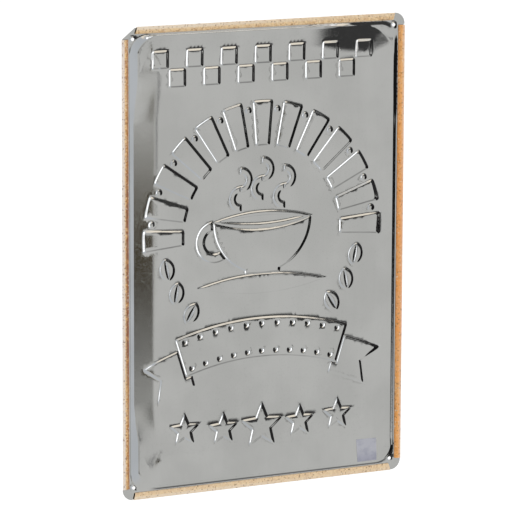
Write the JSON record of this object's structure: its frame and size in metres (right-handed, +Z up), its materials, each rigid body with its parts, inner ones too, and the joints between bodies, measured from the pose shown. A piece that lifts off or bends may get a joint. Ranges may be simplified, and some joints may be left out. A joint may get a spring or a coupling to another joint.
{
  "type": "tin sign",
  "caption": "Upright pressed tin sign with a raised, embossed panel, folded hems on its edges and a nail hole in each corner.",
  "frame": {"origin": "centre of the four nail holes, on the back of the flat rim that they go through; the wall is 1.1 mm further back", "axes": "+Z up, +Y out of the bare back towards the wall, so the printed front faces -Y; +X to the right as seen from the front"},
  "size_m": [0.2, 0.0054, 0.3],
  "materials": {
    "tinplate": "satin bare tinplate on the back, lithographed on the front",
    "printed_tin": "lithographed sheet, semi-gloss, speckled",
    "label_paper": "blank matt label"
  },
  "bodies": {
    "root": {"sign_plate": "tinplate", "hem_top": "printed_tin", "hem_bottom": "printed_tin", "hem_left": "printed_tin", "hem_right": "printed_tin", "back_label": "label_paper"}
  },
  "joints": []
}
